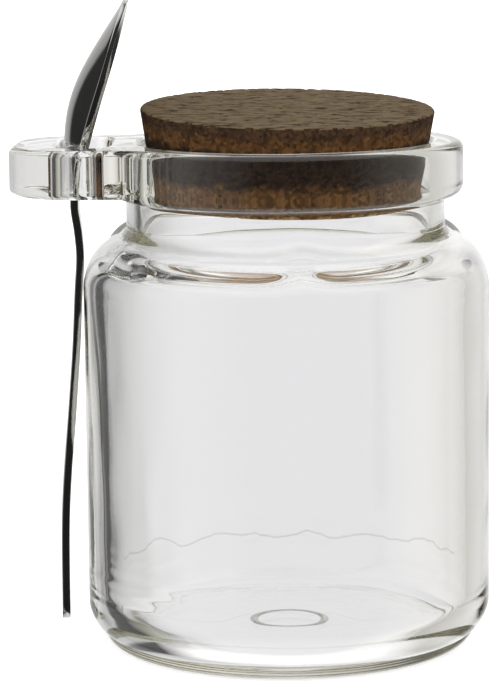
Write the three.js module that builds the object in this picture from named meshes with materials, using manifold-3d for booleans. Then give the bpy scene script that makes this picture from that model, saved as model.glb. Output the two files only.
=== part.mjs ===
// A moulded glass jar with a lug on its rim, a tapered cork stopper in its mouth,
// and a steel spoon that hangs by its bowl in the slot of the lug.
// Millimetres, +Z up, standing on z = 0.

import * as THREE from 'three';
import { mergeVertices } from 'three/addons/utils/BufferGeometryUtils.js';
import Module from 'manifold-3d';

const wasm = await Module();
wasm.setup();

// Jar body, outside
const bodyRadius = 35;
const rimTop = 87.2;
const heelReach = 9.9;
const heelHeight = 7.7;
const footRadius = 29.3;
const footRound = 3.05;
const shoulderFoot = 62;
const shoulderRise = 9.1;
const footEndDeg = -12;
const heelStartDeg = -43;
const shoulderEndDeg = 76;

// Neck and rim, outside
const neckRadius = 27.4;
const neckFoot = 72.6;
const rimRadius = 30.6;
const rimBottom = 77.7;
const rimUnderRound = 2.4;
const rimTopRound = 1.45;
const neckFillet = 0.75;
const neckFlare = 0.3;

// Inside of the jar
const mouthRadius = 24.9;
const lipRound = 1.2;
const wall = 4.2;
const innerShoulderTop = 70.5;
const innerShoulderFoot = 62;
const innerShoulderUpperEase = 0.55;
const innerShoulderLowerEase = 0.6;
const floorMiddle = 4.8;
const floorEdge = 3.8;
const innerHeelReach = 4;
const innerHeelHeight = 6;

// Underside of the jar
const standInner = 26.2;
const hollowDepth = 0.6;

// Lug on the rim, pointing to -X, with the slot for the spoon
const lugReach = 47;
const lugHalfWidth = 16.8;
const lugCorner = 12;
const lugTop = 87.1;
const lugBottom = 78.7;
const lugRootHalfWidth = 20;
const lugRootRadius = 30;
const lugFlareX = -27;
const lugCutRadius = 27.4;
const lugBlankSpare = 10;
const slotOuter = 38.8;
const slotInner = 30.2;
const slotHalfLength = 11;
const slotEdgeRound = 1.3;
const cutPast = 4;
const cutOverlap = 0.01;

// Cork stopper, tilted a little in the mouth
const corkTopRadius = 25.2;
const corkHeight = 15.5;
const corkTaperDeg = 8.8;
const corkEdgeRound = 0.5;
const corkRight = 0.5;
const corkForward = 0.3;
const corkTopHeight = 92.85;
const corkLeanForwardDeg = 3.6;
const corkLeanRightDeg = 1.1;

// Spoon: bowl up, handle down
const bowlLength = 34.5;
const bowlHalfWidth = 11.2;
const bowlDepth = 4.2;
const neckHalfWidth = 2.4;
const handleEndHalfWidth = 4.6;
const handleEndRound = 6;
const bowlThickness = 0.9;
const handleThickness = 1.3;
const tipHalfWidth = 0.5;
const bowlEgg = 0.94;
const dishEgg = 1.12;

// How finely round shapes are divided
const turnSteps = 48;
const lugCurveSteps = 7;
const roundSteps = 3;
const spoonLengthSteps = 52;
const spoonWidthSteps = 8;
const spoonEndCrowding = 0.55;
const mergeWithin = 1e-4;

// The origin lies under the middle of the outline seen from above, lug included
const axisX = (lugReach - bodyRadius) / 2;

const point = (radius, height) => new THREE.Vector2(radius, height);

// Points of an elliptical arc in a turned profile, both ends included
function arc(middle, reach, rise, fromDeg, toDeg, steps) {
  return Array.from({ length: steps + 1 }, (_, i) => {
    const angle = THREE.MathUtils.degToRad(fromDeg + ((toDeg - fromDeg) * i) / steps);
    return point(middle.x + reach * Math.cos(angle), middle.y + rise * Math.sin(angle));
  });
}

// A closed solid from a profile turned about +Z; the profile runs from axis to axis
function turned(profile) {
  return new THREE.LatheGeometry(profile, turnSteps).rotateX(Math.PI / 2);
}

function toSolid(geometry) {
  const bare = geometry.clone();
  bare.deleteAttribute('normal');
  bare.deleteAttribute('uv');
  const merged = mergeVertices(bare, mergeWithin);
  const corners = merged.index.array;
  const kept = [];
  for (let i = 0; i < corners.length; i += 3) {
    const [a, b, c] = corners.slice(i, i + 3);
    if (a !== b && b !== c && c !== a) kept.push(a, b, c);
  }
  const mesh = new wasm.Mesh({
    numProp: 3,
    vertProperties: new Float32Array(merged.attributes.position.array),
    triVerts: new Uint32Array(kept),
  });
  return new wasm.Manifold(mesh);
}

function toGeometry(solid) {
  const mesh = solid.getMesh();
  const geometry = new THREE.BufferGeometry();
  geometry.setAttribute('position', new THREE.BufferAttribute(mesh.vertProperties, 3));
  geometry.setIndex(new THREE.BufferAttribute(mesh.triVerts, 1));
  geometry.computeVertexNormals();
  return geometry;
}

// Outside of the jar from the middle of its underside up to the top of its rim.
// The foot ring is a part round, and the crease above it is the mould's parting line.
function outerProfile() {
  const heelMiddle = point(bodyRadius - heelReach, heelHeight);
  const shoulderReach = bodyRadius - neckRadius;
  const shoulder = arc(point(neckRadius, shoulderFoot), shoulderReach, shoulderRise, 0, shoulderEndDeg, 5);
  const shoulderEnd = shoulder[shoulder.length - 1];
  const neckCurve = new THREE.QuadraticBezierCurve(
    shoulderEnd,
    point(neckRadius + neckFlare, shoulderFoot + shoulderRise),
    point(neckRadius, neckFoot),
  );
  const rimUnder = point(rimRadius - rimUnderRound, rimBottom + rimUnderRound);
  const rimUpper = point(rimRadius - rimTopRound, rimTop - rimTopRound);
  const underRim = point(neckRadius + neckFillet, rimBottom - neckFillet);
  return [
    ...arc(point(0, 0), standInner, hollowDepth, 90, 0, 6),
    ...arc(point(footRadius, footRound), footRound, footRound, -90, footEndDeg, 3),
    ...arc(heelMiddle, heelReach, heelHeight, heelStartDeg, 0, 4),
    ...shoulder,
    ...neckCurve.getPoints(2).slice(1),
    ...arc(underRim, neckFillet, neckFillet, 180, 90, 2),
    ...arc(rimUnder, rimUnderRound, rimUnderRound, -90, 0, roundSteps).slice(1),
    ...arc(rimUpper, rimTopRound, rimTopRound, 0, 90, roundSteps),
  ];
}

// Inside of the jar from the lip down to the middle of its floor
function innerProfile() {
  const innerRadius = bodyRadius - wall;
  const innerShoulderRise = innerShoulderTop - innerShoulderFoot;
  const lipMiddle = point(mouthRadius + lipRound, rimTop - lipRound);
  const innerShoulder = new THREE.CubicBezierCurve(
    point(mouthRadius, innerShoulderTop),
    point(mouthRadius, innerShoulderTop - innerShoulderUpperEase * innerShoulderRise),
    point(innerRadius, innerShoulderFoot + innerShoulderLowerEase * innerShoulderRise),
    point(innerRadius, innerShoulderFoot),
  );
  const heelMiddle = point(innerRadius - innerHeelReach, floorEdge + innerHeelHeight);
  const floorDome = new THREE.QuadraticBezierCurve(
    point(heelMiddle.x, floorEdge),
    point(heelMiddle.x / 2, floorMiddle),
    point(0, floorMiddle),
  );
  return [
    ...arc(lipMiddle, lipRound, lipRound, 90, 180, roundSteps),
    ...innerShoulder.getPoints(6),
    ...arc(heelMiddle, innerHeelReach, innerHeelHeight, 0, -90, 6),
    ...floorDome.getPoints(4).slice(1),
  ];
}

// Outline of the lug from above: two straight sides, a rounded far end,
// and flared roots that run into the rim. It reaches on over the mouth, which is cut free later.
function lugOutline() {
  const rootX = -Math.sqrt(lugRootRadius ** 2 - lugRootHalfWidth ** 2);
  const cornerX = lugCorner - lugReach;
  const cornerY = lugHalfWidth - lugCorner;
  const shape = new THREE.Shape();
  shape.moveTo(rootX, lugRootHalfWidth);
  shape.quadraticCurveTo(lugFlareX, lugHalfWidth, 2 * lugFlareX - rootX, lugHalfWidth);
  shape.absarc(cornerX, cornerY, lugCorner, Math.PI / 2, Math.PI, false);
  shape.absarc(cornerX, -cornerY, lugCorner, Math.PI, 1.5 * Math.PI, false);
  shape.lineTo(2 * lugFlareX - rootX, -lugHalfWidth);
  shape.quadraticCurveTo(lugFlareX, -lugHalfWidth, rootX, -lugRootHalfWidth);
  shape.lineTo(rootX / 2, -lugRootHalfWidth / 2);
  shape.lineTo(rootX / 2, lugRootHalfWidth / 2);
  shape.closePath();
  return shape;
}

// The lug's blank with one rounding at both faces
function lugBlank(bottom, top, round) {
  const geometry = new THREE.ExtrudeGeometry(lugOutline(), {
    depth: top - bottom - 2 * round,
    curveSegments: lugCurveSteps,
    bevelThickness: round,
    bevelSize: round,
    bevelOffset: -round,
    bevelSegments: roundSteps,
  });
  return toSolid(geometry.translate(0, 0, bottom + round));
}

// Outline of the slot from above, with half-round ends, grown by a margin
function slotOutline(margin) {
  const half = (slotOuter - slotInner) / 2 + margin;
  const middle = -(slotOuter + slotInner) / 2;
  const reach = slotHalfLength + margin - half;
  const shape = new THREE.Shape();
  shape.absarc(middle, reach, half, 0, Math.PI, false);
  shape.absarc(middle, -reach, half, Math.PI, 2 * Math.PI, false);
  shape.closePath();
  return shape;
}

// What is cut out of the lug: a straight slot that flares at both faces
function slotCutter() {
  const flared = new THREE.ExtrudeGeometry(slotOutline(0), {
    depth: lugTop - lugBottom - 2 * slotEdgeRound,
    curveSegments: lugCurveSteps,
    bevelThickness: slotEdgeRound,
    bevelSize: -slotEdgeRound,
    bevelOffset: slotEdgeRound,
    bevelSegments: roundSteps,
  }).translate(0, 0, lugBottom + slotEdgeRound);
  const ends = { depth: cutPast, curveSegments: lugCurveSteps, bevelEnabled: false };
  const wide = slotOutline(slotEdgeRound);
  const above = new THREE.ExtrudeGeometry(wide, ends).translate(0, 0, lugTop - cutOverlap);
  const below = new THREE.ExtrudeGeometry(wide, ends).translate(0, 0, lugBottom + cutOverlap - cutPast);
  return toSolid(flared).add(toSolid(above)).add(toSolid(below));
}

function jarGeometry() {
  const vessel = toSolid(turned([...outerProfile(), ...innerProfile()]));
  const roundedAbove = lugBlank(lugBottom - lugBlankSpare, lugTop, rimTopRound);
  const roundedBelow = lugBlank(lugBottom, lugTop + lugBlankSpare, rimUnderRound);
  const mouthCut = [
    point(0, 0),
    point(lugCutRadius, 0),
    point(lugCutRadius, 2 * rimTop),
    point(0, 2 * rimTop),
  ];
  const lug = roundedAbove.intersect(roundedBelow).subtract(toSolid(turned(mouthCut)));
  return toGeometry(vessel.add(lug).subtract(slotCutter()));
}

// The cork's middle is the middle of its top face, so that it leans about that face
function corkGeometry() {
  const taper = Math.tan(THREE.MathUtils.degToRad(corkTaperDeg));
  const bottomRadius = corkTopRadius - corkHeight * taper;
  const lowerRound = point(bottomRadius - corkEdgeRound, corkEdgeRound - corkHeight);
  const upperRound = point(corkTopRadius - corkEdgeRound, -corkEdgeRound);
  const profile = [
    point(0, -corkHeight),
    ...arc(lowerRound, corkEdgeRound, corkEdgeRound, -90, 0, 2),
    ...arc(upperRound, corkEdgeRound, corkEdgeRound, 0, 90, 2),
    point(0, 0),
  ];
  return turned(profile);
}

// The spoon's line from the tip of its bowl to the end of its handle, in the XZ plane.
// Along the bowl it is the line of the bowl's edge.
const spoonLine = new THREE.CatmullRomCurve3(
  [
    [-26.8, 111.6],
    [-29.75, 101.3],
    [-33, 91],
    [-35.2, 83],
    [-36.2, 77],
    [-35.7, 72],
    [-35.5, 67.5],
    [-35.95, 61.5],
    [-36.45, 52],
    [-37.25, 42.3],
    [-38.8, 24],
    [-39.15, 3.6],
  ].map(([x, z]) => new THREE.Vector3(x, 0, z)),
);

// Half the spoon's width at a distance from the tip of its bowl
function spoonHalfWidth(distance, length) {
  const along = distance / bowlLength;
  const egg = Math.sqrt(Math.max(0, 1 - (2 * along ** bowlEgg - 1) ** 2));
  const bowl = along < 1 ? bowlHalfWidth * egg : 0;
  const grow = THREE.MathUtils.smoothstep(distance, bowlLength, length);
  const handle = THREE.MathUtils.lerp(neckHalfWidth, handleEndHalfWidth, grow);
  const fromEnd = Math.min(1, (length - distance) / handleEndRound);
  const rounded = handle * Math.sqrt(1 - (1 - fromEnd) ** 2);
  const inNeck = distance > bowlLength / 2 ? rounded : 0;
  return Math.max(bowl, inNeck, tipHalfWidth);
}

// A flat bar bent along the spoon's line, widened to its outline and dished at the bowl
function spoonGeometry() {
  const length = spoonLine.getLength();
  const bar = new THREE.BoxGeometry(1, 2, 1, spoonLengthSteps, spoonWidthSteps, 1);
  const places = bar.attributes.position;
  for (let i = 0; i < places.count; i += 1) {
    // Steps close up towards both ends, where the outline turns fastest
    const even = places.getX(i) + 0.5;
    const along = THREE.MathUtils.lerp(even, THREE.MathUtils.smoothstep(even, 0, 1), spoonEndCrowding);
    const across = places.getY(i);
    const side = -2 * places.getZ(i);
    const distance = along * length;
    const middle = spoonLine.getPointAt(along);
    const forward = spoonLine.getTangentAt(along);
    const towardsBack = new THREE.Vector3(forward.z, 0, -forward.x);
    const inBowl = Math.min(1, distance / bowlLength);
    const dish = bowlDepth * Math.sin(Math.PI * inBowl ** dishEgg) * (1 - across ** 2);
    const thickness = THREE.MathUtils.lerp(bowlThickness, handleThickness, inBowl);
    middle.addScaledVector(towardsBack, dish + (side * thickness) / 2);
    places.setXYZ(i, middle.x, across * spoonHalfWidth(distance, length), middle.z);
  }
  return bar;
}

const glass = { color: 0xe4e6e2, roughness: 0.03, metalness: 0, transparent: true, opacity: 0.35 };
const corkFinish = { color: 0x6a4a2c, roughness: 0.9, metalness: 0 };
const steel = { color: 0xb8b8b8, roughness: 0.15, metalness: 1 };

function piece(name, geometry, finish) {
  const mesh = new THREE.Mesh(geometry, new THREE.MeshStandardMaterial(finish));
  mesh.name = name;
  return mesh;
}

const jar = piece('jar', jarGeometry(), glass);
const cork = piece('cork', corkGeometry(), corkFinish);
const spoon = piece('spoon', spoonGeometry(), steel);

cork.position.set(corkRight, -corkForward, corkTopHeight);
cork.rotation.x = THREE.MathUtils.degToRad(corkLeanForwardDeg);
cork.rotation.y = THREE.MathUtils.degToRad(corkLeanRightDeg);

const condimentJar = new THREE.Group();
condimentJar.position.x = axisX;
condimentJar.add(jar, cork, spoon);

export default condimentJar;
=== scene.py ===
# %% [markdown]
# # A glass jar with a cork and a spoon
# The jar is one piece of press-moulded clear glass. A cork stopper leans in its mouth, and a steel spoon
# hangs in the slot of a lug on its rim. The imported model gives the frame: where each piece is and how big
# it is. Every piece below stands for one node of that frame and stays inside its box.

# %% Load the frame
import math

import bmesh
import bpy
from mathutils import Matrix, Vector, noise


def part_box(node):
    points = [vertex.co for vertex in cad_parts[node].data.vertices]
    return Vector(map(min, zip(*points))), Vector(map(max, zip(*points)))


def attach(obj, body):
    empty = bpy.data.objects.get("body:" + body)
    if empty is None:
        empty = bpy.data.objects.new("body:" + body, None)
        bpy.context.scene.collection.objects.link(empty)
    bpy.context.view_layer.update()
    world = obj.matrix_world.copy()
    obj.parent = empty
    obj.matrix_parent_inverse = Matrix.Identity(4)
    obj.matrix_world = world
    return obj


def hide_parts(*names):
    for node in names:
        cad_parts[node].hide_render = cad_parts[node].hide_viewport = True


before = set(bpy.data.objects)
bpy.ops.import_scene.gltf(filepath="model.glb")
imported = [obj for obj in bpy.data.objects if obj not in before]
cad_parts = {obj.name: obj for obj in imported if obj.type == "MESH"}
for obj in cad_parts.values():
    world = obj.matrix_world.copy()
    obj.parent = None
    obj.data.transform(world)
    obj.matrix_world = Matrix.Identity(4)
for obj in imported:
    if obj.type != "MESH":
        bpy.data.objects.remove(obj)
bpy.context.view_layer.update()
MM = 0.001
scene = bpy.context.scene

# %% [markdown]
# The jar is round, so most of the work is done about its axis, in millimetres. The frame's origin lies
# under the middle of the outline with its lug, so the axis stands beside it: one body radius in from the
# right side.

# %% Find the jar's axis
BODY_RADIUS = 35.0
axis_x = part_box("jar")[1].x / MM - BODY_RADIUS
print("jar axis at x =", round(axis_x, 2), "mm")

# %% [markdown]
# The camera looks at the jar from a little above. Its place and turn were found by fitting the outlines of
# body, rim, cork and lug. A long lens keeps the sides of the jar almost parallel.

# %% Place the camera
CAMERA_DISTANCE = 525.2
CAMERA_HEIGHT = 132.64
LOOK_DOWN_DEG = 8.75
TURN_LEFT_DEG = 0.693
ROLL_DEG = -0.658
LENS = 160.2

camera_data = bpy.data.cameras.new("camera")
camera_data.lens = LENS
camera_data.clip_start = 0.01
camera = bpy.data.objects.new("camera", camera_data)
turn = Matrix.Rotation(math.radians(TURN_LEFT_DEG), 4, "Z")
look = Matrix.Rotation(math.radians(90 - LOOK_DOWN_DEG), 4, "X")
roll = Matrix.Rotation(math.radians(ROLL_DEG), 4, "Z")
place = Matrix.Translation(Vector((axis_x, -CAMERA_DISTANCE, CAMERA_HEIGHT)) * MM)
camera.matrix_world = place @ turn @ look @ roll
scene.collection.objects.link(camera)
scene.camera = camera
print("camera at", [round(v, 4) for v in camera.location])

# %% [markdown]
# Two helpers serve every piece. A turned piece starts as an outline, drawn as a chain of edges from arcs and
# straight stretches. A finished piece is scaled to metres and moved to the jar's axis in its mesh, so that
# its object stays at the origin.

# %% Helpers for outlines and finished pieces
def arc(middle, reach, rise, start_deg, end_deg, steps):
    """Points of an elliptical arc, both ends included."""
    angles = [math.radians(start_deg + (end_deg - start_deg) * i / steps) for i in range(steps + 1)]
    return [(middle[0] + reach * math.cos(a), middle[1] + rise * math.sin(a)) for a in angles]


def straight(start, end, steps):
    """Points of a straight stretch without its two ends."""
    shares = [i / steps for i in range(1, steps)]
    return [(start[0] + (end[0] - start[0]) * t, start[1] + (end[1] - start[1]) * t) for t in shares]


def curve(points, steps):
    """Points of a Bezier curve with these control points, both ends included."""
    result = []
    for i in range(steps + 1):
        level = [Vector(p) for p in points]
        while len(level) > 1:
            level = [a.lerp(b, i / steps) for a, b in zip(level, level[1:])]
        result.append(tuple(level[0]))
    return result


SECTORS = 10


def turned(outline, steps):
    """A closed round body: the outline, from axis to axis, spun into a sector that is repeated all round."""
    bm = bmesh.new()
    sector = 2 * math.pi / SECTORS
    verts = [bm.verts.new((radius, 0, height)) for radius, height in outline]
    edges = [bm.edges.new(pair) for pair in zip(verts, verts[1:])]
    bmesh.ops.spin(bm, geom=verts + edges, axis=(0, 0, 1), angle=sector, steps=steps // SECTORS)
    bmesh.ops.spin(bm, geom=bm.verts[:] + bm.edges[:] + bm.faces[:], axis=(0, 0, 1),
                   angle=2 * math.pi - sector, steps=SECTORS - 1, use_duplicate=True)
    seams = [vert for vert in bm.verts if vert.is_boundary]
    bmesh.ops.remove_doubles(bm, verts=seams, dist=1e-3)
    bmesh.ops.recalc_face_normals(bm, faces=bm.faces)
    return bm


def finished(bm, name, node):
    """The object of a piece that was modelled in millimetres about the jar's axis."""
    bmesh.ops.scale(bm, vec=(MM, MM, MM), verts=bm.verts)
    bmesh.ops.translate(bm, vec=(axis_x * MM, 0, 0), verts=bm.verts)
    mesh = bpy.data.meshes.new(name)
    bm.to_mesh(mesh)
    bm.free()
    mesh.shade_smooth()
    piece = bpy.data.objects.new(name, mesh)
    scene.collection.objects.link(piece)
    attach(piece, "root")
    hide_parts(node)
    return piece


def smoothstep(low, high, value):
    """A soft change from 0 to 1 between two values."""
    share = min(1.0, max(0.0, (value - low) / (high - low)))
    return share * share * (3 - 2 * share)


print("each turned piece is spun in", SECTORS, "sectors")

# %% [markdown]
# ## The glass jar
# Glass shows both of its surfaces, so the outline runs all the way round the wall: from the middle of the
# hollow underside, over the foot, heel, body, shoulder, neck and rim, into the mouth and down to the floor.
# A plain mould ring is pressed into the middle of the underside. Rings of points lie close wherever the
# outline bends, next to every flat face and on both sides of the crease between foot and heel, so that smooth
# shading keeps flat faces flat and the crease crisp.

# %% Draw the jar's outline
RIM_TOP = 87.2
HEEL_REACH, HEEL_HEIGHT = 9.9, 7.7
FOOT_RADIUS, FOOT_ROUND = 29.3, 3.05
FOOT_END_DEG, HEEL_START_DEG = -12.0, -43.0
SHOULDER_FOOT, SHOULDER_RISE, SHOULDER_END_DEG = 62.0, 9.1, 76.0
SHOULDER_EASE = 0.3
NECK_RADIUS, NECK_FOOT = 27.4, 72.6
RIM_RADIUS, RIM_BOTTOM = 30.6, 77.7
RIM_UNDER_ROUND, RIM_TOP_ROUND, NECK_FILLET = 2.4, 1.45, 0.75
STAND_INNER, HOLLOW_DEPTH = 26.2, 0.6
MOULD_RING_RADIUS, MOULD_RING_HALF_WIDTH, MOULD_RING_DEPTH = 6.2, 0.6, 0.25
MOUTH_RADIUS, LIP_ROUND, WALL = 24.9, 1.2, 4.2
INNER_SHOULDER_TOP, INNER_SHOULDER_FOOT = 70.5, 62.0
UPPER_EASE, LOWER_EASE = 0.55, 0.6
FLOOR_MIDDLE, FLOOR_EDGE = 4.5, 3.8
INNER_HEEL_REACH, INNER_HEEL_HEIGHT = 4.0, 6.0
RIPPLE_TOP = 21.0
SUPPORT = 0.02

inner_radius = BODY_RADIUS - WALL
inner_heel_top = FLOOR_EDGE + INNER_HEEL_HEIGHT


def underside():
    """The domed hollow under the jar, with the groove of the mould ring."""
    near_ring = [MOULD_RING_RADIUS + MOULD_RING_HALF_WIDTH * i / 5 for i in range(-7, 8)]
    near_foot = [24.8, 25.4, 25.8, 26.05]
    radii = [0, 2, 4, *near_ring, *range(8, 25, 2), *near_foot]
    outline = []
    for radius in radii:
        away = (radius - MOULD_RING_RADIUS) / MOULD_RING_HALF_WIDTH
        groove = MOULD_RING_DEPTH * max(0, 1 - away * away)
        outline.append((radius, HOLLOW_DEPTH * (1 - (radius / STAND_INNER) ** 2) + groove))
    return outline


def outer_outline():
    """From the middle of the underside, over the body, to the top of the rim."""
    shoulder_middle = (NECK_RADIUS, SHOULDER_FOOT)
    shoulder = arc(shoulder_middle, BODY_RADIUS - NECK_RADIUS, SHOULDER_RISE, 0, SHOULDER_END_DEG, 34)
    shoulder_ease = (NECK_RADIUS + SHOULDER_EASE, SHOULDER_FOOT + SHOULDER_RISE)
    foot = ((FOOT_RADIUS, FOOT_ROUND), FOOT_ROUND, FOOT_ROUND)
    heel = ((BODY_RADIUS - HEEL_REACH, HEEL_HEIGHT), HEEL_REACH, HEEL_HEIGHT)
    neck_foot = (NECK_RADIUS, NECK_FOOT)
    under_rim = (NECK_RADIUS + NECK_FILLET, RIM_BOTTOM - NECK_FILLET)
    rim_under = (RIM_RADIUS - RIM_UNDER_ROUND, RIM_BOTTOM + RIM_UNDER_ROUND)
    rim_upper = (RIM_RADIUS - RIM_TOP_ROUND, RIM_TOP - RIM_TOP_ROUND)
    return [
        *underside(),
        (STAND_INNER, 0),
        (STAND_INNER + SUPPORT, 0),
        (FOOT_RADIUS - SUPPORT, 0),
        *arc(*foot, -90, FOOT_END_DEG - 2, 10),
        *arc(*foot, FOOT_END_DEG - 0.6, FOOT_END_DEG, 1),
        *arc(*heel, HEEL_START_DEG, HEEL_START_DEG + 0.2, 1),
        *arc(*heel, HEEL_START_DEG + 2, 0, 14),
        *straight((BODY_RADIUS, HEEL_HEIGHT), (BODY_RADIUS, SHOULDER_FOOT), 4),
        *shoulder,
        *curve([shoulder[-1], shoulder_ease, neck_foot], 16)[1:],
        *straight(neck_foot, (NECK_RADIUS, under_rim[1]), 4),
        *arc(under_rim, NECK_FILLET, NECK_FILLET, 180, 90, 9),
        (under_rim[0] + SUPPORT, RIM_BOTTOM),
        (rim_under[0] - SUPPORT, RIM_BOTTOM),
        *arc(rim_under, RIM_UNDER_ROUND, RIM_UNDER_ROUND, -90, 0, 12),
        *straight((RIM_RADIUS, rim_under[1]), (RIM_RADIUS, rim_upper[1]), 4),
        *arc(rim_upper, RIM_TOP_ROUND, RIM_TOP_ROUND, 0, 90, 10),
        (rim_upper[0] - SUPPORT, RIM_TOP),
    ]


def inner_outline():
    """From the top of the rim, down the mouth, to the middle of the floor."""
    lip = (MOUTH_RADIUS + LIP_ROUND, RIM_TOP - LIP_ROUND)
    bend = INNER_SHOULDER_TOP - INNER_SHOULDER_FOOT
    shoulder = [
        (MOUTH_RADIUS, INNER_SHOULDER_TOP),
        (MOUTH_RADIUS, INNER_SHOULDER_TOP - UPPER_EASE * bend),
        (inner_radius, INNER_SHOULDER_FOOT + LOWER_EASE * bend),
        (inner_radius, INNER_SHOULDER_FOOT),
    ]
    heel = (inner_radius - INNER_HEEL_REACH, inner_heel_top)
    floor_radii = [heel[0] * (1 - i / 16) for i in range(1, 17)]
    dome = [(r, FLOOR_EDGE + (FLOOR_MIDDLE - FLOOR_EDGE) * (1 - (r / heel[0]) ** 2)) for r in floor_radii]
    return [
        (lip[0] + SUPPORT, RIM_TOP),
        *arc(lip, LIP_ROUND, LIP_ROUND, 90, 180, 9),
        *straight((MOUTH_RADIUS, lip[1]), shoulder[0], 8),
        *curve(shoulder, 22),
        *straight(shoulder[-1], (inner_radius, RIPPLE_TOP), 24),
        *straight((inner_radius, RIPPLE_TOP), (inner_radius, inner_heel_top), 36),
        *arc(heel, INNER_HEEL_REACH, INNER_HEEL_HEIGHT, 0, -90, 32),
        *dome,
    ]


jar_outline = outer_outline() + inner_outline()
print("jar outline has", len(jar_outline), "points")

# %% [markdown]
# Inside, the glass was pushed out by a plunger or by air and then cooled, so the inner wall is never quite
# even, and this shows in how it bends what is behind it. Its true shape can't be seen, so this one is a
# likeness, tuned to those bends. The inner shoulder reaches higher at the back and in one narrow pinch
# at the front. A slow wave of less than a tenth of a millimetre runs over the whole wall, a taller swell lies
# on the left, and fine level ripples lie low on the left.

# %% Spin the jar and let its inside wave
JAR_STEPS = 300
PINCH_DEG, PINCH_HALF_WIDTH_DEG, PINCH = -85.0, 7.5, 0.12
BACK_STRETCH, BACK_FULL, STRETCH_FADE = 0.25, 15.0, 8.0
WAVE_HEIGHT, WAVE_LENGTH, CALM_RADIUS = 0.08, 16.0, 8.0
RIPPLE_HEIGHT, RIPPLE_LENGTH, RIPPLE_SPREAD = 0.09, 1.5, 12.0
RIPPLE_LEFT_FROM, RIPPLE_LEFT_FULL, RIPPLE_FULL_BELOW = 8.0, 24.0, 9.0
SWELL_HEIGHT, SWELL_LENGTH, SWELL_DRAWN_UP = 0.14, 7.0, 2.5
SWELL_LEFT_FROM, SWELL_LEFT_FULL = 16.0, 27.0
CLOSE = 0.01


def shoulder_stretch(spot):
    """How much higher the inner shoulder reaches on this side of the jar, as a share of its height."""
    turn_deg = math.degrees(math.atan2(spot.y, spot.x))
    pinch = PINCH * math.exp(-((turn_deg - PINCH_DEG) / PINCH_HALF_WIDTH_DEG) ** 2)
    return pinch + BACK_STRETCH * smoothstep(0, BACK_FULL, spot.y)


def inner_wave(spot):
    """How far the inner skin stands off its even shape at a spot."""
    x, y, z = spot
    wave = WAVE_HEIGHT * smoothstep(0, CALM_RADIUS, spot.xy.length) * noise.noise(spot / WAVE_LENGTH)
    low_left = smoothstep(RIPPLE_LEFT_FROM, RIPPLE_LEFT_FULL, -x)
    low_left *= 1 - smoothstep(RIPPLE_FULL_BELOW, RIPPLE_TOP, z)
    stacked = Vector((x / RIPPLE_SPREAD, y / RIPPLE_SPREAD, z / RIPPLE_LENGTH))
    ripple = RIPPLE_HEIGHT * low_left * noise.noise(stacked)
    drawn_up = Vector((x, y, z / SWELL_DRAWN_UP)) / SWELL_LENGTH
    swell = SWELL_HEIGHT * smoothstep(SWELL_LEFT_FROM, SWELL_LEFT_FULL, -x) * noise.noise(drawn_up)
    return wave + ripple + swell


jar_shape = turned(jar_outline, JAR_STEPS)
for vert in jar_shape.verts:
    inner = vert.co.xy.length < inner_radius + CLOSE and vert.co.z > INNER_SHOULDER_FOOT
    if inner and vert.co.z < INNER_SHOULDER_TOP + STRETCH_FADE:
        fade = 1 - smoothstep(INNER_SHOULDER_TOP, INNER_SHOULDER_TOP + STRETCH_FADE, vert.co.z)
        rise = min(vert.co.z, INNER_SHOULDER_TOP) - INNER_SHOULDER_FOOT
        vert.co.z += shoulder_stretch(vert.co) * rise * fade
jar_shape.normal_update()
for vert in jar_shape.verts:
    inner = vert.co.xy.length < inner_radius + CLOSE
    if inner and FLOOR_EDGE - CLOSE < vert.co.z < INNER_SHOULDER_TOP:
        vert.co += vert.normal * inner_wave(vert.co)
print("jar body has", len(jar_shape.faces), "faces")

# %% [markdown]
# The lug is the rim itself, drawn out to one side. Its plan is the rim's circle joined to a rounded box by
# a soft corner. Each ring of the rim has a distance in from that plan, so each point is moved straight out
# from the axis until it lies that far inside the plan. One smooth surface results, with no seam at the root.

# %% Draw the rim out into the lug
LUG_REACH, LUG_HALF_WIDTH, LUG_CORNER = 47.0, 16.8, 12.0
LUG_TOP, LUG_BOTTOM = 87.1, 78.7
ROOT_SOFTNESS = 5.0
LUG_BLEND = 4.0


def plan_distance(x, y):
    """How far a point lies outside the plan of rim and lug; less than 0 inside."""
    to_rim = math.hypot(x, y) - RIM_RADIUS
    over_x = -x - (LUG_REACH - LUG_CORNER)
    over_y = abs(y) - (LUG_HALF_WIDTH - LUG_CORNER)
    to_lug = math.hypot(max(over_x, 0), max(over_y, 0)) + min(max(over_x, over_y), 0) - LUG_CORNER
    to_lug = max(to_lug, x)
    near = max(ROOT_SOFTNESS - abs(to_rim - to_lug), 0) / ROOT_SOFTNESS
    return min(to_rim, to_lug) - near * near * ROOT_SOFTNESS / 4


def plan_radius(angle, inset):
    """How far out the plan reaches at an angle about the axis, when it is drawn in by an inset."""
    low, high = NECK_RADIUS, LUG_REACH + 1
    for _ in range(40):
        middle = (low + high) / 2
        outside = plan_distance(middle * math.cos(angle), middle * math.sin(angle)) > -inset
        low, high = (low, middle) if outside else (middle, high)
    return low


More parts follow.
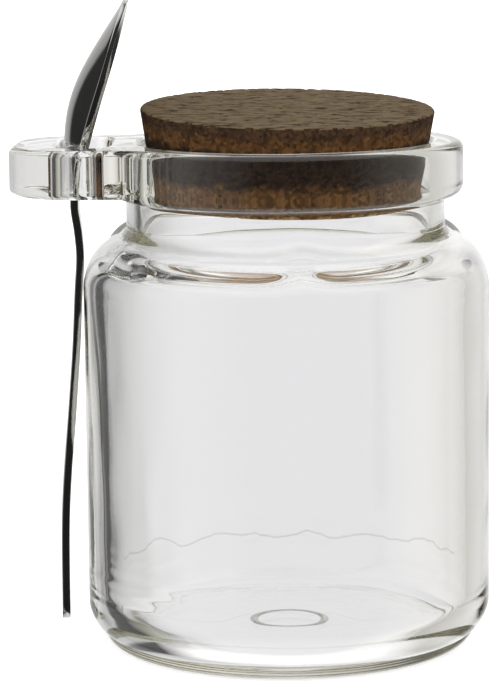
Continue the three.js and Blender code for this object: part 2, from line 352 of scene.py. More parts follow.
for vert in jar_shape.verts:
    radius = vert.co.xy.length
    height = vert.co.z
    angle = math.atan2(vert.co.y, vert.co.x)
    below_rim = height < RIM_BOTTOM - NECK_FILLET - CLOSE
    if below_rim or radius < NECK_RADIUS - CLOSE or abs(angle) < math.pi / 2:
        continue
    drawn_out = smoothstep(0, LUG_BLEND, plan_radius(angle, 0) - RIM_RADIUS)
    under_share = 1 - smoothstep(RIM_BOTTOM, RIM_BOTTOM + RIM_UNDER_ROUND, height)
    top_share = smoothstep(RIM_TOP - RIM_TOP_ROUND, RIM_TOP, height)
    vert.co.z += drawn_out * (under_share * (LUG_BOTTOM - RIM_BOTTOM) + top_share * (LUG_TOP - RIM_TOP))
    inset = RIM_RADIUS - radius
    under_moves = height < RIM_TOP - RIM_TOP_ROUND and inset < RIM_UNDER_ROUND + 1.5 * SUPPORT
    top_moves = height > RIM_BOTTOM + RIM_UNDER_ROUND and inset < RIM_TOP_ROUND + 1.5 * SUPPORT
    if under_moves or top_moves:
        vert.co.xy = vert.co.xy.normalized() * plan_radius(angle, inset)
print("lug reaches", round(-min(v.co.x for v in jar_shape.verts), 2), "mm from the axis")

# %% [markdown]
# The slot goes straight through the lug and flares at both faces, as pressed glass does. A cutter is lofted
# from stretched circles, one for each level, and a Boolean takes it out of the lug. The flare ends on the
# face with a small crease, which keeps the cut clean.

# %% Cut the slot for the spoon
SLOT_OUTER, SLOT_INNER, SLOT_HALF_LENGTH = 38.8, 30.2, 11.0
SLOT_EDGE_ROUND, SLOT_CREASE_DEG = 1.3, 62.0
SLOT_ROUND_STEPS, SLOT_TURN_STEPS = 8, 72
CUT_PAST = 3.0
SHARP_DEG = 20.0


def slot_levels():
    """Height and margin of each level of the cutter, from below the lug to above it."""
    drop = SLOT_EDGE_ROUND * math.sin(math.radians(SLOT_CREASE_DEG))
    quarter = [math.radians(90 * i / SLOT_ROUND_STEPS) for i in range(SLOT_ROUND_STEPS + 1)]
    flare = [(SLOT_EDGE_ROUND * math.sin(a) - drop, SLOT_EDGE_ROUND * (1 - math.cos(a))) for a in quarter]
    upper = [(LUG_TOP + rise, margin) for rise, margin in flare] + [(LUG_TOP + CUT_PAST, SLOT_EDGE_ROUND)]
    lower = [(LUG_BOTTOM - rise, margin) for rise, margin in flare]
    lower += [(LUG_BOTTOM - CUT_PAST, SLOT_EDGE_ROUND)]
    return lower[::-1] + upper


def slot_cutter():
    """A solid of the slot's shape that reaches past both faces of the lug."""
    bm = bmesh.new()
    half = (SLOT_OUTER - SLOT_INNER) / 2
    stretch = SLOT_HALF_LENGTH - half
    loops = []
    for height, margin in slot_levels():
        made = bmesh.ops.create_circle(bm, segments=SLOT_TURN_STEPS, radius=half + margin)
        for vert in made["verts"]:
            side = 0 if abs(vert.co.y) < 1e-6 else math.copysign(1, vert.co.y)
            vert.co += Vector((-(SLOT_OUTER + SLOT_INNER) / 2, side * stretch, height))
        loops.append(list({edge for vert in made["verts"] for edge in vert.link_edges}))
    for lower, upper in zip(loops, loops[1:]):
        bmesh.ops.bridge_loops(bm, edges=lower + upper)
    bmesh.ops.holes_fill(bm, edges=loops[0] + loops[-1])
    bmesh.ops.recalc_face_normals(bm, faces=bm.faces)
    return bm


def cut(bm, cutter_bm):
    """The first solid without the second one."""
    objects = []
    for shape, name in ((bm, "blank"), (cutter_bm, "cutter")):
        mesh = bpy.data.meshes.new(name)
        shape.to_mesh(mesh)
        shape.free()
        objects.append(bpy.data.objects.new(name, mesh))
        scene.collection.objects.link(objects[-1])
    blank, cutter = objects
    boolean = blank.modifiers.new("slot", "BOOLEAN")
    boolean.operation = "DIFFERENCE"
    boolean.solver = "MANIFOLD"
    boolean.object = cutter
    result = bmesh.new()
    result.from_object(blank, bpy.context.evaluated_depsgraph_get())
    for used in objects:
        mesh = used.data
        bpy.data.objects.remove(used)
        bpy.data.meshes.remove(mesh)
    return result


jar_shape = cut(jar_shape, slot_cutter())
print("jar with slot has", len(jar_shape.faces), "faces")
jar = finished(jar_shape, "glass_jar", "jar")
jar.data.set_sharp_from_angle(angle=math.radians(SHARP_DEG))

# %% [markdown]
# ## The cork
# The stopper was cut from bark and sanded, so its edges are a little ragged and its skin is full of small
# pits. The outline is a tapered plug with close rings of points. Noise pulls the skin in at the pits and
# along the edges: only inwards, so that the cork stays in the space it has in the mouth.

# %% Turn the cork and roughen it
CORK_TOP_RADIUS, CORK_HEIGHT, CORK_TAPER_DEG, CORK_EDGE_ROUND = 25.2, 15.5, 8.8, 0.5
CORK_RIGHT, CORK_FORWARD, CORK_TOP_HEIGHT = 0.5, 0.3, 92.85
CORK_FORWARD_DEG, CORK_RIGHT_DEG = 3.6, 1.1
CORK_STEPS, CORK_SIDE_STEPS, CORK_TOP_STEPS = 360, 40, 50
PIT_DEPTH, PIT_SIZE, PIT_FROM, PIT_FULL = 0.154, 0.9, 0.22, 0.55
CHIP_DEPTH, CHIP_SIZE, CHIP_FROM, CHIP_FULL, CHIP_REACH = 0.22, 1.3, 0.1, 0.6, 0.8
CHIP_SHIFT = Vector((7, 3, 1))
TOP_STRETCH_X, TOP_STRETCH_Y = 2.5, 1.4
FACES_UP = 0.5

cork_lean = Matrix.Rotation(math.radians(CORK_FORWARD_DEG), 4, "X")
cork_lean = cork_lean @ Matrix.Rotation(math.radians(CORK_RIGHT_DEG), 4, "Y")


def cork_outline():
    """From the middle of the bottom face to the middle of the top face."""
    bottom_radius = CORK_TOP_RADIUS - CORK_HEIGHT * math.tan(math.radians(CORK_TAPER_DEG))
    lower = arc((bottom_radius - CORK_EDGE_ROUND, CORK_EDGE_ROUND - CORK_HEIGHT), CORK_EDGE_ROUND,
                CORK_EDGE_ROUND, -90, 0, 3)
    upper = arc((CORK_TOP_RADIUS - CORK_EDGE_ROUND, -CORK_EDGE_ROUND), CORK_EDGE_ROUND,
                CORK_EDGE_ROUND, 0, 90, 3)
    bottom, top = (0, -CORK_HEIGHT), (0, 0)
    return [
        bottom,
        *straight(bottom, lower[0], CORK_TOP_STEPS // 2),
        *lower,
        *straight(lower[-1], upper[0], CORK_SIDE_STEPS),
        *upper,
        *straight(upper[-1], top, CORK_TOP_STEPS),
        top,
    ]


def cork_hollow(spot, face_up):
    """How deep the skin is pulled in at a spot of the cork."""
    on_top = face_up > FACES_UP
    grain = Vector((spot.x / TOP_STRETCH_X, spot.y * TOP_STRETCH_Y, spot.z)) if on_top else spot
    pit = PIT_DEPTH * smoothstep(PIT_FROM, PIT_FULL, noise.noise(grain / PIT_SIZE))
    to_edge = min(-spot.z, CORK_TOP_RADIUS - spot.xy.length if on_top else -spot.z)
    chip = CHIP_DEPTH * smoothstep(CHIP_FROM, CHIP_FULL, noise.noise(spot / CHIP_SIZE + CHIP_SHIFT))
    return pit + chip * (1 - smoothstep(0, CHIP_REACH, abs(to_edge)))


cork_shape = turned(cork_outline(), CORK_STEPS)
cork_shape.normal_update()
for vert in cork_shape.verts:
    vert.co -= vert.normal * cork_hollow(vert.co, vert.normal.z)
cork_place = Matrix.Translation((CORK_RIGHT, -CORK_FORWARD, CORK_TOP_HEIGHT))
bmesh.ops.transform(cork_shape, matrix=cork_place @ cork_lean, verts=cork_shape.verts)
print("cork has", len(cork_shape.faces), "faces")
cork = finished(cork_shape, "cork_stopper", "cork")

# %% [markdown]
# ## The spoon
# The spoon hangs handle-down with its bowl above the lug. Its line, seen from the side, runs from the tip of
# the bowl to the end of the handle. A smooth curve through a few points of that line is cut into short steps
# whose lengths add up, so that a place on the spoon can be given by its distance from the tip.

# %% Follow the spoon's line
SPOON_LINE = [(-26.8, 111.55), (-29.75, 101.3), (-33.0, 91.0), (-35.2, 83.0), (-36.2, 77.0), (-35.7, 72.0),
              (-35.5, 67.5), (-35.9, 61.5), (-36.45, 52.0), (-37.25, 42.3), (-38.8, 24.0), (-39.15, 3.6)]
LINE_SAMPLES = 400


def spoon_line(share):
    """A point of a smooth curve through the spoon's points, by knots that follow their distances."""
    points = [Vector(p) for p in SPOON_LINE]
    points = [points[0] * 2 - points[1], *points, points[-1] * 2 - points[-2]]
    spans = len(points) - 3
    span = min(int(share * spans), spans - 1)
    p = points[span:span + 4]
    knots = [0.0]
    for a, b in zip(p, p[1:]):
        knots.append(knots[-1] + math.sqrt((b - a).length))
    t = knots[1] + (share * spans - span) * (knots[2] - knots[1])
    level = p
    for width in (1, 2, 3):
        ends = [(knots[i], knots[i + width]) for i in range(4 - width)] if width < 3 else [knots[1:3]]
        level = [a.lerp(b, (t - low) / (high - low)) for a, b, (low, high) in zip(level, level[1:], ends)]
    return level[0]


line = [spoon_line(i / LINE_SAMPLES) for i in range(LINE_SAMPLES + 1)]
line_lengths = [0.0]
for near, far in zip(line, line[1:]):
    line_lengths.append(line_lengths[-1] + (far - near).length)
spoon_length = line_lengths[-1]


def line_at(distance):
    """Point and direction of the spoon's line at a distance from the tip."""
    i = 0
    while i < LINE_SAMPLES - 1 and line_lengths[i + 1] < distance:
        i += 1
    step = line_lengths[i + 1] - line_lengths[i]
    before, after = line[max(i - 1, 0)], line[min(i + 2, LINE_SAMPLES)]
    return line[i].lerp(line[i + 1], (distance - line_lengths[i]) / step), (after - before).normalized()


print("spoon is", round(spoon_length, 1), "mm long")

# %% [markdown]
# A spoon is stamped from one strip, so it starts as a flat grid. The grid is bent along the spoon's line,
# widened to its outline and dished at the bowl. Below the lug the handle is turned a little about its length,
# so that a sliver of its broad face shows beside the edge. Extruding the faces by the thickness of the strip
# and bevelling the border makes it a real blank.

# %% Stamp the spoon from a strip
BOWL_LENGTH, BOWL_HALF_WIDTH, BOWL_DEPTH = 34.5, 11.2, 4.2
BOWL_FULLNESS, DISH_FULLNESS, TIP_HALF_WIDTH = 0.94, 1.12, 0.5
SPOON_NECK_HALF_WIDTH, HANDLE_END_HALF_WIDTH, HANDLE_END_ROUND = 2.4, 4.6, 6.0
BOWL_THICKNESS, HANDLE_THICKNESS = 0.8, 1.4
HANDLE_TWIST_DEG, TWIST_FULL_BELOW, TWIST_NONE_ABOVE = 4.5, 66.0, 76.0
SPOON_LENGTH_STEPS, SPOON_WIDTH_STEPS = 150, 16
CROWD_TO_ENDS = 0.55
SPOON_EDGE_ROUND, BORDER_DEG = 0.14, 50.0


def spoon_half_width(distance):
    """Half of the spoon's width at a distance from the tip: a bowl, or a handle with a round end."""
    along = distance / BOWL_LENGTH
    oval = 1 - (2 * along ** BOWL_FULLNESS - 1) ** 2
    bowl = BOWL_HALF_WIDTH * math.sqrt(max(0, oval)) if along < 1 else 0
    grow = smoothstep(BOWL_LENGTH, spoon_length, distance)
    handle = SPOON_NECK_HALF_WIDTH + (HANDLE_END_HALF_WIDTH - SPOON_NECK_HALF_WIDTH) * grow
    from_end = min(1, max(0, (spoon_length - distance) / HANDLE_END_ROUND))
    rounded = handle * math.sqrt(1 - (1 - from_end) ** 2) if distance > BOWL_LENGTH / 2 else 0
    return max(bowl, rounded, TIP_HALF_WIDTH)


def spoon_blank():
    """The bent and dished strip with its thickness, edges still sharp."""
    bm = bmesh.new()
    bmesh.ops.create_grid(bm, x_segments=SPOON_LENGTH_STEPS, y_segments=SPOON_WIDTH_STEPS, size=1)
    thickness = {}
    for vert in bm.verts:
        even = (vert.co.x + 1) / 2
        across = vert.co.y
        distance = spoon_length * (even + CROWD_TO_ENDS * (smoothstep(0, 1, even) - even))
        in_bowl = min(1, distance / BOWL_LENGTH)
        place, forward = line_at(distance)
        to_back = Vector((forward.y, -forward.x))
        dish = BOWL_DEPTH * math.sin(math.pi * in_bowl ** DISH_FULLNESS) * (1 - across ** 2)
        place = place + to_back * dish
        aside = across * spoon_half_width(distance)
        below_lug = 1 - smoothstep(TWIST_FULL_BELOW, TWIST_NONE_ABOVE, place.y)
        twist = math.radians(HANDLE_TWIST_DEG) * below_lug
        vert.co = (place.x - aside * math.sin(twist), aside * math.cos(twist), place.y)
        thickness[vert.index] = BOWL_THICKNESS + (HANDLE_THICKNESS - BOWL_THICKNESS) * in_bowl ** 3
    bm.normal_update()
    back = {v.index: v.normal.copy() for v in bm.verts}
    front_verts = list(bm.verts)
    made = bmesh.ops.extrude_face_region(bm, geom=bm.faces[:], use_keep_orig=True)
    new_verts = [g for g in made["geom"] if isinstance(g, bmesh.types.BMVert)]
    for old, new in zip(front_verts, new_verts):
        shift = back[old.index] * thickness[old.index] / 2
        new.co = new.co + shift
        old.co = old.co - shift
    bmesh.ops.recalc_face_normals(bm, faces=bm.faces)
    return bm


spoon_shape = spoon_blank()
steep = math.radians(BORDER_DEG)
border = [e for e in spoon_shape.edges if e.is_manifold and e.calc_face_angle(0) > steep]
bmesh.ops.bevel(spoon_shape, geom=border, offset=SPOON_EDGE_ROUND, segments=3, profile=0.5,
                affect="EDGES", material=-1)
print("spoon has", len(spoon_shape.faces), "faces")
spoon = finished(spoon_shape, "steel_spoon", "spoon")

# %% [markdown]
# ## Finishes
# Colours are written as sRGB hex values, and one function turns them to the linear values that shaders
# work with. Another adds a node with its settings, its values and its links.

# %% Helpers for materials
def linear(hex_colour):
    """The linear colour of an sRGB hex value."""
    channels = [int(hex_colour[i:i + 2], 16) / 255 for i in (1, 3, 5)]
    return (*[c / 12.92 if c <= 0.04045 else ((c + 0.055) / 1.055) ** 2.4 for c in channels], 1.0)


def add(tree, kind, inputs=None, stops=None, **settings):
    """A new node; inputs hold plain values or the sockets that feed them, stops a ramp's colours."""
    node = tree.nodes.new(kind)
    for name, value in settings.items():
        setattr(node, name, value)
    for name, value in (inputs or {}).items():
        if isinstance(value, bpy.types.NodeSocket):
            tree.links.new(value, node.inputs[name])
        else:
            node.inputs[name].default_value = value
    if stops:
        elements = node.color_ramp.elements
        while len(elements) < len(stops):
            elements.new(1.0)
        for element, (position, colour) in zip(elements, stops):
            element.position = position
            element.color = linear(colour)
    return node


def new_material(name):
    """An empty material, its node tree and its output node."""
    material = bpy.data.materials.new(name)
    material.use_nodes = True
    material.node_tree.nodes.clear()
    output = add(material.node_tree, "ShaderNodeOutputMaterial")
    return material, material.node_tree, output


def per_mm(size):
    """Scale of a pattern whose features are this many millimetres across."""
    return 1 / (size * MM)


WHITE = (1, 1, 1, 1)
print("half-way grey #808080 is", round(linear("#808080")[0], 3), "in linear light")

# %% [markdown]
# ### Press-moulded soda-lime glass
# Two grey lines are painted into the colour of the glass. The groove of the mould ring is so shallow that it
# would hardly show, so the dark line that it would make by bending light is painted in as a grey tint:
# painted shade.
# A thin wavering grey line is painted along the far inner wall. Both are tints that depend on the place on
# the jar, measured from its axis.

# %% Painted ring shade and grey line in the glass
RING_REACH, RING_BELOW = 10.0, 2.0
# painted shade: the grey ring in these stops stands in for the dark line of the groove
RING_SHADE_STOPS = [(0.535, "#ffffff"), (0.565, "#404040"), (0.675, "#404040"), (0.705, "#ffffff")]
# a thin wavering grey line is painted on the far inner wall at about this height
GREY_LINE_LEVEL, GREY_LINE_WANDER, GREY_LINE_HALF_WIDTH = 11.6, 3.2, 0.3
GREY_LINE_RISE, GREY_LINE_BEHIND, GREY_LINE_SIZE = 2.6, 4.0, 11.0
WITHIN_WALL = inner_radius + 1


def painted_ring_shade(tree, place, from_axis):
    """White, and grey painted shade in the mould ring under the jar."""
    share = add(tree, "ShaderNodeMapRange", {"Value": from_axis, "From Max": RING_REACH * MM})
    ring = add(tree, "ShaderNodeValToRGB", {"Fac": share.outputs["Result"]}, stops=RING_SHADE_STOPS)
    higher = add(tree, "ShaderNodeMath", {0: place["Z"], 1: RING_BELOW * MM}, operation="GREATER_THAN")
    tint = add(tree, "ShaderNodeMix", {
        "Factor": higher.outputs[0], "A": ring.outputs["Color"], "B": WHITE}, data_type="RGBA")
    return tint.outputs["Result"]


def off_grey_line(tree, place, level, from_axis):
    """0 on the painted grey line, and 1 beside it, on the outer skin and on the front of the jar."""
    wander = add(tree, "ShaderNodeTexNoise", {
        "Vector": level, "Scale": per_mm(GREY_LINE_SIZE), "Detail": 4.0})
    grey_line_height = add(tree, "ShaderNodeMapRange", {
        "Value": wander.outputs["Fac"], "To Min": (GREY_LINE_LEVEL - GREY_LINE_WANDER) * MM,
        "To Max": (GREY_LINE_LEVEL + GREY_LINE_WANDER) * MM})
    rise = add(tree, "ShaderNodeMapRange", {
        "Value": place["Y"], "From Max": inner_radius * MM, "To Min": GREY_LINE_RISE * MM, "To Max": 0.0})
    height = add(tree, "ShaderNodeMath", {0: grey_line_height.outputs["Result"], 1: rise.outputs["Result"]})
    over = add(tree, "ShaderNodeMath", {0: place["Z"], 1: height.outputs[0]}, operation="SUBTRACT")
    off = add(tree, "ShaderNodeMath", {0: over.outputs[0]}, operation="ABSOLUTE")
    beside = add(tree, "ShaderNodeMapRange", {"Value": off.outputs[0], "From Max": GREY_LINE_HALF_WIDTH * MM})
    outside = add(tree, "ShaderNodeMath", {0: from_axis, 1: WITHIN_WALL * MM}, operation="GREATER_THAN")
    in_front = add(tree, "ShaderNodeMath", {0: place["Y"], 1: GREY_LINE_BEHIND * MM}, operation="LESS_THAN")
    elsewhere = add(tree, "ShaderNodeMath", {
        0: outside.outputs[0], 1: in_front.outputs[0]}, operation="MAXIMUM")
    bare = add(tree, "ShaderNodeMath", {
        0: elsewhere.outputs[0], 1: beside.outputs["Result"]}, operation="MAXIMUM")
    return bare.outputs[0]


# the settle line printed here is the grey line painted on the far inner wall
print("settle line about", GREY_LINE_LEVEL, "mm high, mould ring", MOULD_RING_RADIUS, "mm from the axis")

# %% [markdown]
# Soda-lime glass bends light by an index of 1.52. The mould leaves a faint unevenness on the outside, which
# the flame of the finishing oven polishes smooth: nothing looks rough, but reflections swim a little. A trace
# of iron in the sand makes thick glass faintly olive, so a thin absorption fills the wall: the eye sees it
# only at the edges, where it looks through a long stretch of glass.

# %% Glass
GLASS_INDEX = 1.52
UNEVEN_SIZE, UNEVEN_DEPTH, UNEVEN_STRENGTH = 14.0, 0.25, 0.25
TINT_DENSITY = 12.0


def pressed_glass():
    """Clear glass with a swimming surface, an olive depth, a painted ring shade and a painted grey line."""
    material, tree, output = new_material("press-moulded soda-lime glass")
    coords = add(tree, "ShaderNodeTexCoord")
    uneven = add(tree, "ShaderNodeTexNoise", {
        "Vector": coords.outputs["Object"], "Scale": per_mm(UNEVEN_SIZE), "Detail": 1.0})
    bump = add(tree, "ShaderNodeBump", {
        "Height": uneven.outputs["Fac"], "Strength": UNEVEN_STRENGTH, "Distance": UNEVEN_DEPTH * MM})
    centred = add(tree, "ShaderNodeMapping", {
        "Vector": coords.outputs["Object"], "Location": (-axis_x * MM, 0, 0)})
    place = add(tree, "ShaderNodeSeparateXYZ", {"Vector": centred.outputs["Vector"]}).outputs
    level = add(tree, "ShaderNodeCombineXYZ", {"X": place["X"], "Y": place["Y"]}).outputs["Vector"]
    from_axis = add(tree, "ShaderNodeVectorMath", {0: level}, operation="LENGTH").outputs["Value"]
    # the glass colour carries the painted shade of the mould ring and the grey line on the far inner wall
    painted_tints = add(tree, "ShaderNodeMix", {
        "Factor": off_grey_line(tree, place, level, from_axis), "A": linear("#cacac8"),
        "B": painted_ring_shade(tree, place, from_axis)}, data_type="RGBA")
    shader = add(tree, "ShaderNodeBsdfPrincipled", {
        "Base Color": painted_tints.outputs["Result"], "Roughness": 0.0, "IOR": GLASS_INDEX,
        "Transmission Weight": 1.0, "Normal": bump.outputs["Normal"]})
    tint = add(tree, "ShaderNodeVolumeAbsorption", {"Color": linear("#cfcdb8"), "Density": TINT_DENSITY})
    tree.links.new(shader.outputs["BSDF"], output.inputs["Surface"])
    tree.links.new(tint.outputs["Volume"], output.inputs["Volume"])
    return material


jar.data.materials.append(pressed_glass())
print("glass:", jar.data.materials[0].name)

# %% [markdown]
# ### Cork
# Bark cork is a foam of tiny cells in layers of growth, with dark woody pores. The cut side shows layers of
# brown, each a crowd of grains, and painted light and shade lie in them: the wide dark middle behind the rim
# is painted shade, and the light lower part with its pale bottom edge is painted light from below. It hardly
# shines, so its browns stay deep.

# %% Cork side
GRAIN_SIZE, PORE_SIZE = 0.6, 1.6
BAND_WANDER, BAND_WANDER_SIZE = 2.2, 2.4
# partly growth layers, partly painted: the dark middle stops are painted shade behind the rim, the light low
# stops and the pale bottom edge painted light from below
LAYER_LIGHT_AND_SHADE_STOPS = [(0.0, "#c39a66"), (0.03, "#7a5b36"), (0.27, "#745331"), (0.38, "#35261b"), (0.68, "#2b1f16"),
              (0.74, "#5a3f24"), (0.83, "#523820"), (0.88, "#3f2d1e"), (1.0, "#3a2a1d")]
GRAIN_DARKEST, GRAIN_LIGHTEST = 0.55, 1.45
PORE_FROM, PORE_FULL = 0.56, 0.68
CORK_SHINE = 0.1


def cork_coordinates(tree):
    """Coordinates of the cork itself: its own axis, from the middle of its top face."""
    coords = add(tree, "ShaderNodeTexCoord")
    lean = (math.radians(CORK_FORWARD_DEG), math.radians(CORK_RIGHT_DEG), 0)
    middle = ((axis_x + CORK_RIGHT) * MM, -CORK_FORWARD * MM, CORK_TOP_HEIGHT * MM)
    mapping = add(tree, "ShaderNodeMapping", {
        "Vector": coords.outputs["Object"], "Rotation": lean, "Location": middle}, vector_type="TEXTURE")
    return mapping.outputs["Vector"]


def cork_side():
    """Wandering layers of brown with painted shade in the middle and painted light below, broken up by grains
    and dark pores.
    """
    material, tree, output = new_material("cut bark cork, side")
    own = cork_coordinates(tree)
    height = add(tree, "ShaderNodeSeparateXYZ", {"Vector": own}).outputs["Z"]
    wander = add(tree, "ShaderNodeTexNoise", {
        "Vector": own, "Scale": per_mm(BAND_WANDER_SIZE), "Detail": 5.0, "Roughness": 0.65})
    drift = add(tree, "ShaderNodeMapRange", {
        "Value": wander.outputs["Fac"], "To Min": -BAND_WANDER * MM, "To Max": BAND_WANDER * MM})
    level = add(tree, "ShaderNodeMath", {0: height, 1: drift.outputs["Result"]}, operation="ADD")
    share = add(tree, "ShaderNodeMapRange", {
        "Value": level.outputs[0], "From Min": -CORK_HEIGHT * MM, "From Max": 0.0})
    layers_light_and_shade = add(tree, "ShaderNodeValToRGB", {"Fac": share.outputs["Result"]}, stops=LAYER_LIGHT_AND_SHADE_STOPS)
    grains = add(tree, "ShaderNodeTexVoronoi", {"Vector": own, "Scale": per_mm(GRAIN_SIZE)})
    each = add(tree, "ShaderNodeSeparateColor", {"Color": grains.outputs["Color"]})
    lighter = add(tree, "ShaderNodeMapRange", {
        "Value": each.outputs["Red"], "To Min": GRAIN_DARKEST, "To Max": GRAIN_LIGHTEST})
    grained = add(tree, "ShaderNodeMix", {
        "Factor": 1.0, "A": layers_light_and_shade.outputs["Color"], "B": lighter.outputs["Result"]},
        data_type="RGBA", blend_type="MULTIPLY")
    pores = add(tree, "ShaderNodeTexNoise", {
        "Vector": own, "Scale": per_mm(PORE_SIZE), "Detail": 6.0, "Roughness": 0.7})
    dark = add(tree, "ShaderNodeMapRange", {
        "Value": pores.outputs["Fac"], "From Min": PORE_FROM, "From Max": PORE_FULL})
    spotted = add(tree, "ShaderNodeMix", {
        "Factor": dark.outputs["Result"], "A": grained.outputs["Result"], "B": linear("#1d140d")},
        data_type="RGBA")
    bump = add(tree, "ShaderNodeBump", {
        "Height": pores.outputs["Fac"], "Strength": 0.9, "Distance": 0.5 * MM}, invert=True)
    shader = add(tree, "ShaderNodeBsdfPrincipled", {
        "Base Color": spotted.outputs["Result"], "Roughness": 0.9, "Specular IOR Level": CORK_SHINE,
        "Normal": bump.outputs["Normal"]})
    tree.links.new(shader.outputs["BSDF"], output.inputs["Surface"])
    return material


cork.data.materials.append(cork_side())
print("cork side:", cork.data.materials[0].name)

# %% [markdown]
# The sanded top is greyed by handling. The cells lie across it in short dark streaks, which one stretched
# noise draws, with the darkest of them sunk in. The faces at the top that look up get this material.

# %% Cork top
STREAK_SIZE, STREAK_STRETCH = 1.5, 0.4
STREAK_STOPS = [(0.34, "#74644c"), (0.48, "#675740"), (0.56, "#564733"), (0.62, "#31271c"), (0.7, "#231b13")]
TOP_LAYER, TOP_FACES_UP = 2.5, 0.55


def cork_top():
    """Grey-brown with short dark streaks."""
    material, tree, output = new_material("sanded bark cork, top")
    own = cork_coordinates(tree)
    along = add(tree, "ShaderNodeMapping", {"Vector": own, "Scale": (STREAK_STRETCH, 1.0, 1.0)})
    streaks = add(tree, "ShaderNodeTexNoise", {
        "Vector": along.outputs["Vector"], "Scale": per_mm(STREAK_SIZE), "Detail": 6.0, "Roughness": 0.65})
    patches = add(tree, "ShaderNodeValToRGB", {"Fac": streaks.outputs["Fac"]}, stops=STREAK_STOPS)
    bump = add(tree, "ShaderNodeBump", {
        "Height": streaks.outputs["Fac"], "Strength": 0.7, "Distance": 0.4 * MM}, invert=True)
    shader = add(tree, "ShaderNodeBsdfPrincipled", {
        "Base Color": patches.outputs["Color"], "Roughness": 0.85, "Specular IOR Level": CORK_SHINE,
        "Normal": bump.outputs["Normal"]})
    tree.links.new(shader.outputs["BSDF"], output.inputs["Surface"])
    return material


cork.data.materials.append(cork_top())
top_layer = (CORK_TOP_HEIGHT - TOP_LAYER) * MM
for face in cork.data.polygons:
    face.material_index = 1 if face.center.z > top_layer and face.normal.z > TOP_FACES_UP else 0
print("cork top has", sum(face.material_index for face in cork.data.polygons), "faces")

# %% [markdown]
# ### Polished stainless steel
# The spoon was tumbled and buffed to a mirror. What is left to see are hair-fine marks along its length,
# drawn wider here than real ones so that they show.

# %% Steel
MARK_WIDTH, MARK_STRETCH = 0.6, 0.06
SMOOTHEST, ROUGHEST = 0.06, 0.14


def polished_steel():
    """A mirror with faint marks along the spoon."""
    material, tree, output = new_material("buffed stainless steel")
    coords = add(tree, "ShaderNodeTexCoord")
    along = add(tree, "ShaderNodeMapping", {
        "Vector": coords.outputs["Object"], "Scale": (1.0, 1.0, MARK_STRETCH)})
    marks = add(tree, "ShaderNodeTexNoise", {
        "Vector": along.outputs["Vector"], "Scale": per_mm(MARK_WIDTH), "Detail": 3.0})
    rough = add(tree, "ShaderNodeMapRange", {
        "Value": marks.outputs["Fac"], "To Min": SMOOTHEST, "To Max": ROUGHEST})
    bump = add(tree, "ShaderNodeBump", {
        "Height": marks.outputs["Fac"], "Strength": 0.05, "Distance": 0.05 * MM})
    shader = add(tree, "ShaderNodeBsdfPrincipled", {
        "Base Color": linear("#c4c3c0"), "Metallic": 1.0, "Roughness": rough.outputs["Result"],
        "Normal": bump.outputs["Normal"]})
    tree.links.new(shader.outputs["BSDF"], output.inputs["Surface"])
    return material


spoon.data.materials.append(polished_steel())
print("steel:", spoon.data.materials[0].name)

# %% [markdown]
# ## The studio
# The jar stands on a plain white floor that fades into a white sky. The floor is hidden from rays that are
# bent or mirrored, because the tones of the room, further down, stand for all that these rays meet.

# %% Floor
FLOOR_SIZE = 12000.0
FLOOR_GLOW = 0.5

floor_shape = bmesh.new()
bmesh.ops.create_grid(floor_shape, x_segments=1, y_segments=1, size=FLOOR_SIZE / 2 * MM)
floor_mesh = bpy.data.meshes.new("floor")
floor_shape.to_mesh(floor_mesh)
floor_shape.free()
floor = bpy.data.objects.new("floor", floor_mesh)
scene.collection.objects.link(floor)
floor_material, floor_tree, floor_output = new_material("white studio floor")
floor_shader = add(floor_tree, "ShaderNodeBsdfPrincipled", {
    "Base Color": linear("#f8f8f8"), "Roughness": 0.9, "Emission Color": WHITE,
    "Emission Strength": FLOOR_GLOW})
floor_tree.links.new(floor_shader.outputs["BSDF"], floor_output.inputs["Surface"])
floor.data.materials.append(floor_material)
floor.visible_transmission = False
floor.visible_glossy = False
print("floor of", FLOOR_SIZE * MM, "m")

# %% [markdown]
# Clear glass and polished steel are drawn by what stands round them. Instead of building a room, the sky
# itself has a tone for each direction round the jar: one set for rays that the glass has bent and one for
# rays that were mirrored. Angles are seen from the jar: 0 lies behind it, -90 to its left, 90 to its right
# and 180 towards the viewer.

# %% Tones of the room
BENT_TONES = [(-100, "#d4d4d0"), (-80, "#b8b8b0"), (-66, "#8c8a7e"), (-60, "#444444"), (-36, "#4e4e4e"),
              (-30, "#b8b8ba"), (-15, "#cacacc"), (-6, "#dfdfe2"), (6, "#dfdfe2"), (13, "#efeeed"),
              (22, "#ebeae9"), (32, "#dcdcda"), (45, "#cccbc7"), (70, "#b8b8b2"), (100, "#d0d0cc")]
FRONT_FROM_DEG = 135
DARK_FRONT, LIGHT_FRONT = "#484848", "#d0d0ce"
MIRROR_TONES = [(-180, "#202020"), (-162, "#282828"), (-146, "#9a9a9a"), (-94, "#9a9a9a"), (-80, "#303030"),
                (-45, "#303030"), (-40, "#a0a0a0"), (-32, "#adadad"), (-24, "#b6b6b6"), (-15, "#c8c8c8"),
                (0, "#f0f0f0"), (20, "#e0e0e0"), (34, "#383838"), (180, "#202020")]


def room_round(tree, vector, tones):
    """The tone of the room in a direction."""
    parts = add(tree, "ShaderNodeSeparateXYZ", {"Vector": vector}).outputs
    angle = add(tree, "ShaderNodeMath", {0: parts["X"], 1: parts["Y"]}, operation="ARCTAN2")
    turn = add(tree, "ShaderNodeMapRange", {
        "Value": angle.outputs[0], "From Min": -math.pi, "From Max": math.pi})
    stops = [((degrees + 180) / 360, tone) for degrees, tone in tones]
    return add(tree, "ShaderNodeValToRGB", {"Fac": turn.outputs["Result"]}, stops=stops).outputs["Color"]


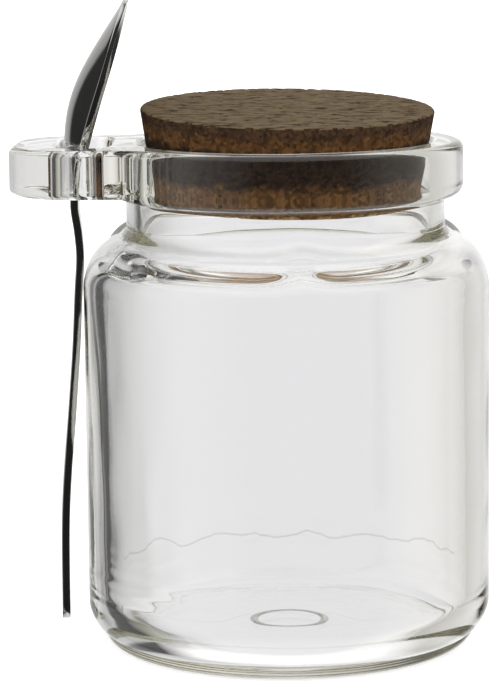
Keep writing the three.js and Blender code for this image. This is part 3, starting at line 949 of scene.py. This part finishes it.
def bent_round(front):
    """The tones for bent rays, closed on the viewer's side by one more tone."""
    return [(-180, front), (-FRONT_FROM_DEG, front), *BENT_TONES, (FRONT_FROM_DEG, front), (180, front)]


print(len(BENT_TONES), "tones for bent rays,", len(MIRROR_TONES), "for mirrored ones")

# %% [markdown]
# The light-path node tells what has happened to a ray before it reaches the sky. A ray that only went into
# the near wall and came back has few bounces and sees a dark room behind the viewer, so the cork stays deep
# brown behind the rim. A ray that passed right through the jar has more and sees a light one, so the glass
# looks clear from every side. High up, and for bent rays far down as well, all is white. Rays that light the
# matt pieces see white too. Light is caught inside the thick heel for many bounces, so many are allowed.

# %% Light
SKY_STRENGTH = 1.2
HIGH_FROM, HIGH_FULL = 0.6, 0.8
LOW_FROM, LOW_FULL = -0.68, -0.85
RETURNED_DEPTH = 4.5
MOST_BOUNCES, MOST_BENDS, MOST_MIRRORINGS = 128, 64, 96


def mix(factor, first, second):
    """The first colour where the factor is 0, the second where it is 1."""
    made = add(sky, "ShaderNodeMix", {"Factor": factor, "A": first, "B": second}, data_type="RGBA")
    return made.outputs["Result"]


world = bpy.data.worlds.new("studio")
scene.world = world
world.use_nodes = True
sky = world.node_tree
sky.nodes.clear()
rays = add(sky, "ShaderNodeLightPath").outputs
direction = add(sky, "ShaderNodeTexCoord").outputs["Generated"]
up = add(sky, "ShaderNodeSeparateXYZ", {"Vector": direction}).outputs["Z"]
high = add(sky, "ShaderNodeMapRange", {"Value": up, "From Min": HIGH_FROM, "From Max": HIGH_FULL})
low = add(sky, "ShaderNodeMapRange", {"Value": up, "From Min": LOW_FROM, "From Max": LOW_FULL})
away = add(sky, "ShaderNodeMath", {
    0: high.outputs["Result"], 1: low.outputs["Result"]}, operation="MAXIMUM")
returned = add(sky, "ShaderNodeMath", {0: rays["Ray Depth"], 1: RETURNED_DEPTH}, operation="LESS_THAN")

mirrored = mix(high.outputs["Result"], room_round(sky, direction, MIRROR_TONES), WHITE)
around = mix(returned.outputs[0], room_round(sky, direction, bent_round(LIGHT_FRONT)),
             room_round(sky, direction, bent_round(DARK_FRONT)))
bent = mix(away.outputs[0], around, WHITE)
plain = mix(rays["Is Glossy Ray"], WHITE, mirrored)
looked = mix(rays["Is Transmission Ray"], plain, bent)
seen = mix(rays["Diffuse Depth"], looked, WHITE)
background = add(sky, "ShaderNodeBackground", {"Color": seen, "Strength": SKY_STRENGTH})
add(sky, "ShaderNodeOutputWorld", {"Surface": background.outputs["Background"]})
scene.view_settings.view_transform = "Standard"
scene.cycles.max_bounces = MOST_BOUNCES
scene.cycles.transmission_bounces = MOST_BENDS
scene.cycles.glossy_bounces = MOST_MIRRORINGS
print("sky of strength", SKY_STRENGTH, "with", len(sky.nodes), "nodes")
